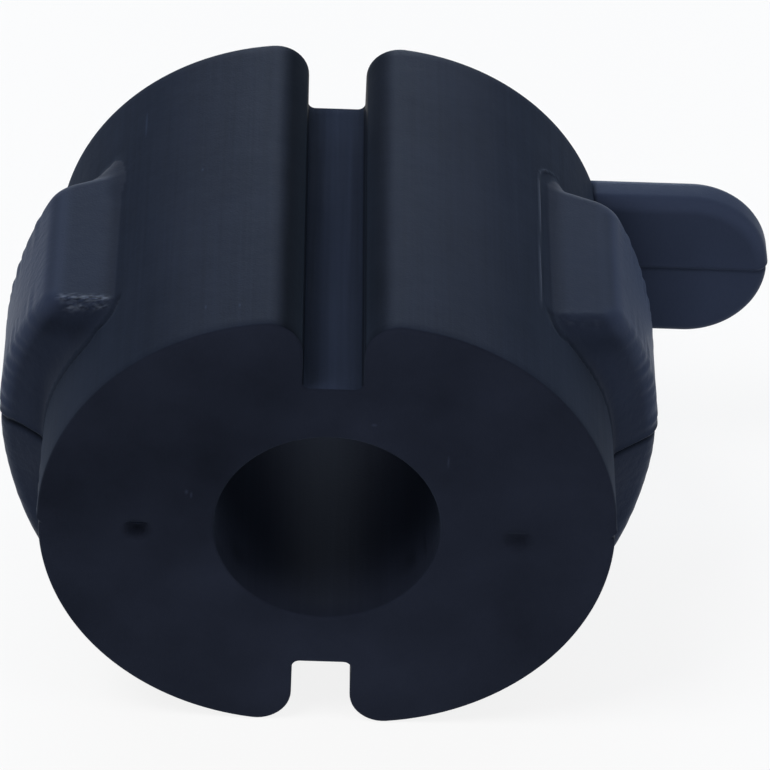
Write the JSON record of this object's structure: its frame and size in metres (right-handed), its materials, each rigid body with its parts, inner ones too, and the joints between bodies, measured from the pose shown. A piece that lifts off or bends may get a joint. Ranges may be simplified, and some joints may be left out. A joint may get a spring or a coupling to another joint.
{
  "type": "sway bar bushing",
  "caption": "Rubber bushing for a sway bar: a bored obround barrel with a relief slot above and below, a locating wing on each side and a flat orientation tongue.",
  "frame": {"origin": "on the axis of the bore, at the middle of the barrel's length", "axes": "+Y along the bore towards the end that carries the tongue; +X from the bore towards the side with the tongue, the longest way across; +Z towards one relief slot"},
  "size_m": [0.0831, 0.0533, 0.0516],
  "materials": {
    "rubber": "semi-matt blue-black moulded rubber, as released from the mould"
  },
  "bodies": {
    "root": {"bushing": "rubber"}
  },
  "joints": []
}
